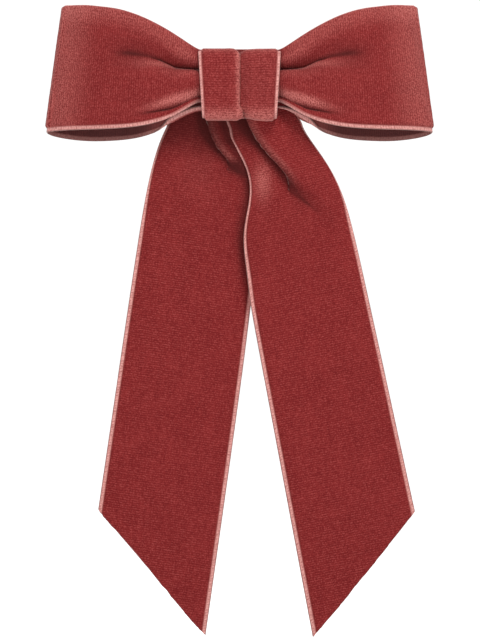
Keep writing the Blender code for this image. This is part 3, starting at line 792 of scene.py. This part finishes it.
def tailSection(left, right, fold, tuck, lift, cup):
    # a pleat: out to the right under the flap, back to the fold's edge, and on over it;
    # a tuck below 0 is the width of the slope that the pleat has opened into
    under, slope = max(tuck, 0.0), min(max(-tuck, 0.0), 1.2 * (right - fold))
    over = min(0.2 * under + 0.6 + 0.4 * slope, 0.3 * (right - fold))
    dip = cup * (1 - ease(slope / 4.0))  # the groove beside the fold's edge
    return [
        Vector((left, 0.7 * cup, 0)),
        Vector((mixed(left, fold - slope, 0.5), 0.1 - 0.5 * cup, 0)),
        Vector((fold + 0.15 * under - slope, 0.2 * dip, 0)),
        Vector((fold + 0.85 * under - 0.8 * slope, 0.5 * dip, 0)),
        Vector((fold + under - 0.6 * slope, -0.3 * lift, 0)),
        Vector((fold + 0.75 * under - 0.4 * slope, -0.6 * lift, 0)),
        Vector((fold + 0.15 * under - 0.15 * slope, -0.85 * lift, 0)),
        Vector((fold - 0.1 * cup, -1.0 * lift - 0.3 * cup, 0)),
        Vector((fold + over, -1.2 * lift - 0.6 * cup, 0)),
        Vector((mixed(fold, right, 0.45), -1.15 * lift - 0.5 * cup, 0)),
        Vector((mixed(fold, right, 0.85), -0.6 * lift - 0.1 * cup, 0)),
        Vector((right, 0.2 * cup, 0)),
    ]


def makeTail(name, word, edges, waved, painted):
    look = tails[word]
    onLeft = word == "left"
    tip, cut = look["tip"], look["cut"]

    def gone(z, start, over):
        return ease((start - z) / over)

    def place(u, a):
        # a runs from the left edge to the right one
        toCut = 1 - a if onLeft else a
        foot = mixed(tip[1], cut[1], toCut)
        if onLeft:
            foot += 0.55 * bump(toCut, 0.70, 0.20) - 0.35 * bump(toCut, 0.18, 0.12)
        ragged = tails["fray"] * gentle(a * ribbonCut["width"], 0.0, look["seed"] + 5, 0.55)
        ragged *= ease((u - 0.985) / 0.015)
        z = mixed(tails["top"], foot + ragged, u)
        left, right = edges(z)
        under, opened, lift = look["under"], look["opened"], look["lift"]
        tuck = under[0] * (1 - gone(z, *under[1:])) - opened[0] * gone(z, *opened[1:])
        height = lift[0] * (1 - gone(z, *lift[1:]))
        cup = ease((z + 50) / 25)
        section = tailSection(left, right, foldAcross(word, z), tuck, height, cup)
        # below the pleat the ribbon is spread evenly again
        plain = Vector((mixed(left, right, a), 0, 0))
        point = smoothLine(section, a).lerp(plain, gone(z, look["evenBelow"], 25))
        return (point.x, look["depth"] + point.y + waved(point.x, z, a), z)

    lean = (look["outerSlope"] + look["innerSlope"]) / 2
    lengthways = Vector((-lean if onLeft else lean, 0, -1)).normalized()
    return makeRibbon(name, look, place, painted, lengthways=lengthways)[0]


# the folds' edges under the knot: (height, across), in mm
foldLines = {
    "left": ((-27, 0.5), (-24, -1.5), (-21.9, -4.0), (-19.3, -6.1), (-16.8, -8.0), (-12, -9.7)),
    "right": (
        (-43, 28.8), (-39, 26.0), (-34.5, 20.8), (-29.5, 16.9), (-26.9, 15.0), (-24.4, 12.7),
        (-22.5, 10.8),
        (-18.7, 7.3), (-11.7, 2.9),
    ),
}


def foldAcross(word, z):
    # averaged over a few mm, so the edge has no corners
    heights, places = zip(*foldLines[word])
    steps = (-2.2, -1.1, 0.0, 1.1, 2.2)
    return float(np.mean([np.interp(z + step, heights, places) for step in steps]))


def waves(x, z, cup):
    low = ease((-26 - z) / 30)
    return low * (1.0 * gentle(x, z, 2.7, 36) + 0.3 * gentle(x, z, 4.7, 13) + cup)


def leftTailLightAndShade(u, a, point, onPile):
    x, y, z = point
    fold = foldAcross("left", z)
    # painted shadow under the flap, under the knot and past the flap's tip
    under = 0.75 * bump(x, fold - 1.6, 2.1) * ease((z + 29) / 4) + 0.50 * ease((z + 25) / 12)
    under += 0.55 * bump(x, 0.5, 3.4) * bump(z, -26.0, 2.6)
    # painted highlights: faint on the left part, and a light line on the flap's edge
    light = 0.08 * bump(z, -27, 8) * bump(x, -13, 6)
    light += 0.35 * bump(x, fold + 0.8, 0.8) * ease((z + 25) / 3)
    # painted shadow cast by the right tail's inner edge
    beside = 0.62 * bump(x, rightEdges(z)[0] - 0.4, 1.9) * ease((z + 72) / 22)
    return light, min(0.85, under + beside)


def rightTailLightAndShade(u, a, point, onPile):
    x, y, z = point
    fold = foldAcross("right", z)
    # painted shadow under the flap, widening as the pleat opens, and under the knot
    fade = ease((z + 42) / 14)
    wide = 4.0 * ease((-31 - z) / 11)
    under = 0.80 * bump(x, fold - 1.5 - 0.5 * wide, 2.2 + 0.6 * wide) * fade
    under += 0.55 * ease((z + 22) / 9) * ease((fold - x) / 4)
    # painted highlights: the lit patch on the inner part, and a light line on the flap's edge
    light = 0.62 * bump(z, -30.5, 5.5) * bump(x, 7.4, 2.4)
    light += 0.30 * bump(x, fold + 1.0, 0.9) * ease((z + 32) / 8)
    return light, min(0.85, under)


def leftWaves(x, z, a):
    return waves(x, z, 0.8 * (2 * a - 1) ** 2)


def rightWaves(x, z, a):
    # with a soft hollow beside the pleat's open end
    hollow = 0.8 * bump(x, foldAcross("right", z) - 2.5, 3.0) * bump(z, -36, 6)
    return waves(x, z, 0.8 * a * a) + hollow


leftTail = makeTail("leftTail", "left", leftEdges, leftWaves, leftTailLightAndShade)
rightTail = makeTail("rightTail", "right", rightEdges, rightWaves, rightTailLightAndShade)
for made, nodes in (
    (leftTail, ("left_tail", "left_tail_top")), (rightTail, ("right_tail", "right_tail_top")),
):
    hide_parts(*nodes)
    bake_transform(made)
print("bow dressed")


# clip metal
metalLook = {
    "nickel": ((0.50, 0.485, 0.46), 0.24),
    "spring": ((0.38, 0.38, 0.40), 0.30),
}


def makeMetal(name, colour, roughness):
    made, start, shader = newMaterial(name)
    place = start.add("ShaderNodeTexCoord", {}, out="Object")
    stretched = start.add("ShaderNodeMapping", {}, {"Vector": place, "Scale": (60.0, 400.0, 900.0)})
    brushed = start.noise(stretched, 6.0, 3.0, 0.6)
    smudge = start.noise(place, 180.0, 3.0)
    fine = start.noise(place, 1500.0, 2.0)
    edge = start.add("ShaderNodeNewGeometry", {}, out="Pointiness").band(0.50, 0.56)
    dulled = tuple(c * 0.72 for c in colour)
    tone = (smudge * 0.7 + fine * 0.3).band(0.3, 0.7).colours(dulled, colour)
    plug(edge.colours(tone, tuple(min(1.0, c * 1.18) for c in colour)), shader, "Base Color")
    plug(roughness + brushed * 0.16 + smudge * 0.10, shader, "Roughness")
    plugRelief(start, shader, brushed + fine * 0.3, 0.08, 0.0001)
    setUniform(shader, {"Metallic": 1.0})
    return made


nickel = makeMetal("nickelPlate", *metalLook["nickel"])
springSteel = makeMetal("springSteel", *metalLook["spring"])


def makeThreadFinish():
    made, start, shader = newMaterial("sewingThread")
    place = start.add("ShaderNodeTexCoord", {}, out="Object")
    fine = start.noise(place, 3000.0, 2.0)
    lay = {0: place, 1: (900.0, 1400.0, 1100.0)}  # turns in a metre, each way
    apart = start.add("ShaderNodeVectorMath", {"operation": "DOT_PRODUCT"}, lay, out="Value")
    twist = (apart + fine * 0.3).wave(1.0)
    tone = (twist * 0.6 + fine * 0.5).band(0.2, 0.9)
    plug(tone.colours((0.075, 0.010, 0.010), (0.30, 0.050, 0.046)), shader, "Base Color")
    plugRelief(start, shader, twist + fine * 0.4, 0.6, 0.0001)
    setUniform(shader, {"Roughness": 0.6, "Sheen Weight": 0.4, "Specular IOR Level": 0.3})
    return made


threadFinish = makeThreadFinish()


def makeGrosgrain():
    made, start, shader = newMaterial("ribbedLining")
    place = start.add("ShaderNodeTexCoord", {}, out="Object")
    apart = start.add("ShaderNodeSeparateXYZ", {}, {"Vector": place})
    fine = start.noise(place, 1500.0, 2.0)
    ribs = (apart * 1000.0 + fine * 0.15).wave(0.8)
    tone = (ribs * 0.7 + fine * 0.4).band(0.1, 0.9)
    plug(tone.colours((0.070, 0.009, 0.010), (0.230, 0.040, 0.038)), shader, "Base Color")
    plugRelief(start, shader, ribs + fine * 0.2, 0.7, 0.0002)
    setUniform(shader, {"Roughness": 0.6, "Sheen Weight": 0.2, "Specular IOR Level": 0.3})
    return made


grosgrain = makeGrosgrain()


def finishedCopy(node, name, body, finish, slotName, edge=0.0, sharp=35):
    # the CAD node's shape, merged, with its sharp edges broken and a finish of its own
    bm = bmesh.new()
    bm.from_mesh(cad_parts[node].data)
    bmesh.ops.remove_doubles(bm, verts=bm.verts, dist=2e-6)
    bmesh.ops.recalc_face_normals(bm, faces=bm.faces)
    if edge:
        bmesh.ops.dissolve_limit(bm, angle_limit=math.radians(1.0), verts=bm.verts, edges=bm.edges)
        turn = math.radians(sharp)
        corners = [e for e in bm.edges if e.is_manifold and e.calc_face_angle(0) > turn]
        bmesh.ops.bevel(
            bm, geom=corners, offset=edge * mm, affect="EDGES", segments=2,
            profile=0.5, material=-1, clamp_overlap=True,
        )
    for face in bm.faces:
        face.smooth = True
    mesh = bpy.data.meshes.new(name)
    bm.to_mesh(mesh)
    bm.free()
    mesh.materials.append(finish)
    made = bpy.data.objects.new(name, mesh)
    bpy.context.scene.collection.objects.link(made)
    if edge:
        made.modifiers.new("evenShading", "WEIGHTED_NORMAL")
    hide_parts(node)
    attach(made, body)
    return made


clipParts = {
    # CAD node: (piece, body, finish, slot, broken edge in mm)
    "base_plate": ("basePlate", "bow", nickel, "nickel", 0.14),
    "hinge_pin": ("hingePin", "bow", nickel, "nickel", 0.08),
    "clamp_arm": ("clampArm", "arm", nickel, "nickel", 0.14),
    "catch_rivet": ("catchRivet", "bow", nickel, "nickel", 0.08),
    "catch_foot": ("catchFoot", "bow", springSteel, "spring_steel", 0.08),
    "tension_bar": ("tensionBar", "bar", springSteel, "spring_steel", 0.08),
    "catch_prong_upper": ("catchProngUpper", "upper_prong", springSteel, "spring_steel", 0.08),
    "catch_prong_lower": ("catchProngLower", "lower_prong", springSteel, "spring_steel", 0.08),
    "gather_thread": ("gatherThread", "bow", threadFinish, "thread", 0.0),
    "centre_lashing": ("centreLashing", "bow", threadFinish, "thread", 0.0),
    "knot_seam_thread": ("knotSeamThread", "bow", threadFinish, "thread", 0.0),
    "end_stitch_left_upper": ("endStitchLeftUpper", "bow", threadFinish, "thread", 0.0),
    "end_stitch_left_lower": ("endStitchLeftLower", "bow", threadFinish, "thread", 0.0),
    "end_stitch_right_upper": ("endStitchRightUpper", "bow", threadFinish, "thread", 0.0),
    "end_stitch_right_lower": ("endStitchRightLower", "bow", threadFinish, "thread", 0.0),
}
for node, (name, body, finish, slotName, edge) in clipParts.items():
    finishedCopy(node, name, body, finish, slotName, edge)
lining = finishedCopy("clip_lining", "clipLining", "bow", grosgrain, "lining", 0.16)
print("clip finished")

# sizes of the ribbon pieces, worked out but not used
width = ribbonCut["width"] * mm
knotLength * mm
longest = 0.1765
for made, word in ((leftTail, "left"), (rightTail, "right")):
    look = tails[word]
    shorter = (look["cut"][1] - look["tip"][1]) * mm
    width * (longest + 0.004 - shorter / 2)

# stage, light and camera
stageLook = {"floor": -0.235, "radius": 8.0, "white": 0.90}


def makeStage():
    look = stageLook
    bm = bmesh.new()
    bmesh.ops.create_circle(bm, cap_ends=True, segments=96, radius=look["radius"])
    bmesh.ops.translate(bm, verts=bm.verts, vec=(0, 0, look["floor"]))
    mesh = bpy.data.meshes.new("paleFloor")
    bm.to_mesh(mesh)
    bm.free()
    floor = bpy.data.objects.new("paleFloor", mesh)
    bpy.context.scene.collection.objects.link(floor)
    made, start, shader = newMaterial("paleFloor")
    shade = look["white"]
    setUniform(shader, {
        "Base Color": (shade, shade, shade, 1.0), "Roughness": 0.9, "Specular IOR Level": 0.0,
        "Emission Strength": 1.0,
    })
    # the floor glows softly away from the bow, and hardly at all beneath it
    place = start.add("ShaderNodeTexCoord", {}, out="Object")
    away = start.add("ShaderNodeVectorMath", {"operation": "LENGTH"}, {0: place}, out="Value")
    glow = away.band(0.35, 0.75)
    plug(glow.colours((0.05, 0.05, 0.05), (0.50, 0.50, 0.50)), shader, "Emission Color")
    mesh.materials.append(made)


makeStage()

lights = {
    # place, aim, size, watts, colour
    "key": ((0.22, -0.60, 0.70), (0, 0, -0.05), 0.35, 7.0, (1.0, 0.98, 0.96)),
    "fill": ((-0.6, -0.8, 0.10), (0, 0, -0.06), 0.6, 1.4, (0.97, 0.98, 1.0)),
    "back": ((0.0, 0.5, 0.6), (0, 0, 0), 0.6, 1.5, (1.0, 1.0, 1.0)),
}
for name, (place, aim, size, watts, colour) in lights.items():
    lamp = bpy.data.lights.new(name, "AREA")
    lamp.size = size
    lamp.energy = watts
    lamp.color = colour
    made = bpy.data.objects.new(name, lamp)
    made.location = place
    made.rotation_mode = "QUATERNION"
    made.rotation_quaternion = (Vector(aim) - Vector(place)).to_track_quat("-Z", "Y")
    bpy.context.scene.collection.objects.link(made)

world = bpy.data.worlds.new("paleRoom")
bpy.context.scene.world = world
world.use_nodes = True
room = {"behind": 1.05, "before": 0.42}  # the room is brightest behind the bow
start = Wire(world.node_tree)
direction = start.add("ShaderNodeTexCoord", {}, out="Generated")
apart = start.add("ShaderNodeSeparateXYZ", {}, {"Vector": direction}, out="Y")
glow = apart.band(-0.15, 0.45).colours((room["before"],) * 3, (room["behind"],) * 3)
background = world.node_tree.nodes["Background"]
plug(glow, background, "Color")
bpy.context.scene.view_settings.view_transform = "Standard"

view = {"away": 1.0, "across": 0.16 * mm, "up": -74.6 * mm, "front": -0.020, "lens": 177.3}
eye = bpy.data.cameras.new("camera")
eye.sensor_width = 36.0
eye.lens = view["lens"]
camera = bpy.data.objects.new("camera", eye)
camera.location = (view["across"], view["front"] - view["away"], view["up"])
camera.rotation_euler = (math.radians(90), 0, 0)
bpy.context.scene.collection.objects.link(camera)
bpy.context.scene.camera = camera
print("stage, light and camera placed")
